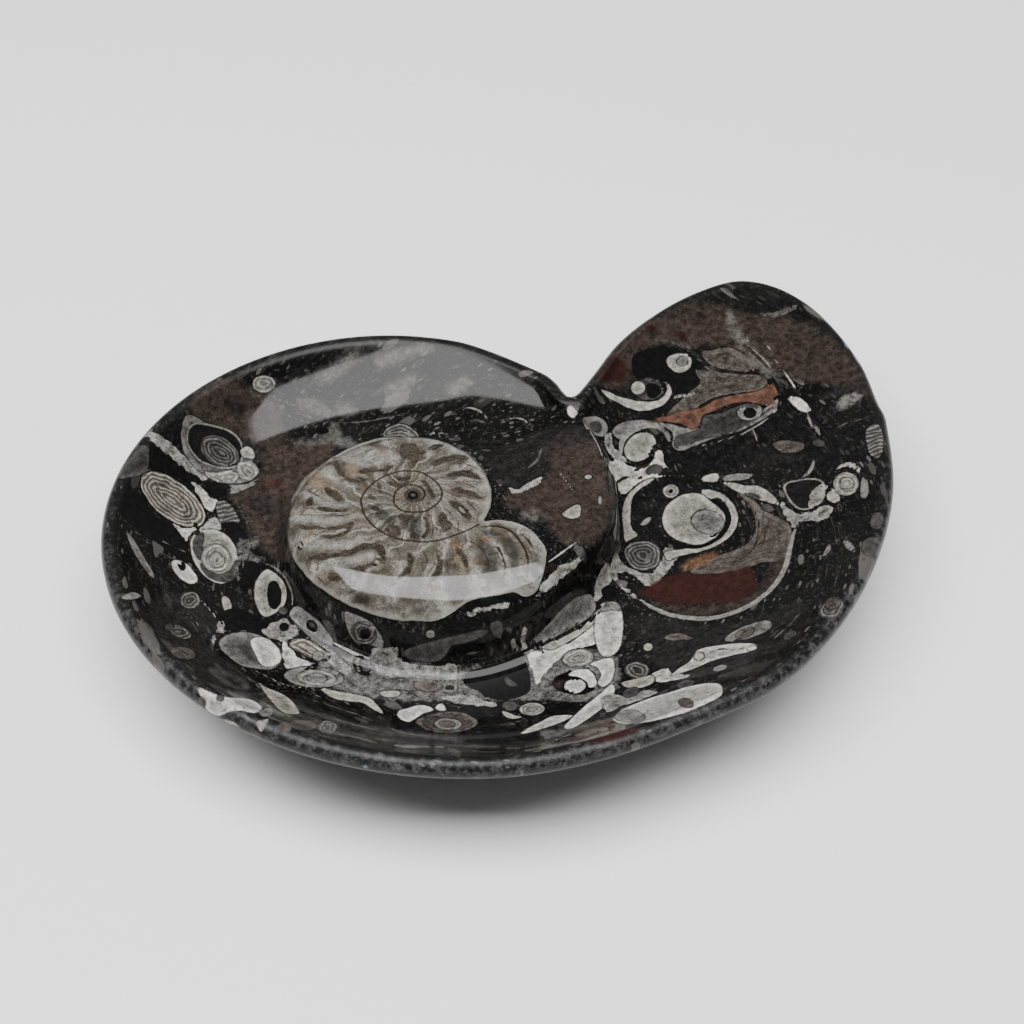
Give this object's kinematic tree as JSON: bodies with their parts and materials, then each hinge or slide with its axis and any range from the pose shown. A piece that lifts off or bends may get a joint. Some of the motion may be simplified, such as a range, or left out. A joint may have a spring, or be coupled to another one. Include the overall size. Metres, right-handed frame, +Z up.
{
  "type": "carved fossil limestone plate",
  "caption": "Shallow plate carved as an ammonite spiral from polished black fossil limestone, with a rounded rim and a domed central boss bearing a sliced ammonite.",
  "frame": {"origin": "under the middle of the plate's bounding box, on the surface that it rests on", "axes": "+Z up through the rim; +X along the longest side, from the round coil towards the mouth of the spiral; +Y away from the front, towards the notch side"},
  "size_m": [0.2086, 0.162, 0.0327],
  "materials": {
    "polished_fossil_limestone": "polished black limestone with cream, grey and brown fossil sections, glossy"
  },
  "bodies": {
    "root": {"fossil_plate": "polished_fossil_limestone"}
  },
  "joints": []
}
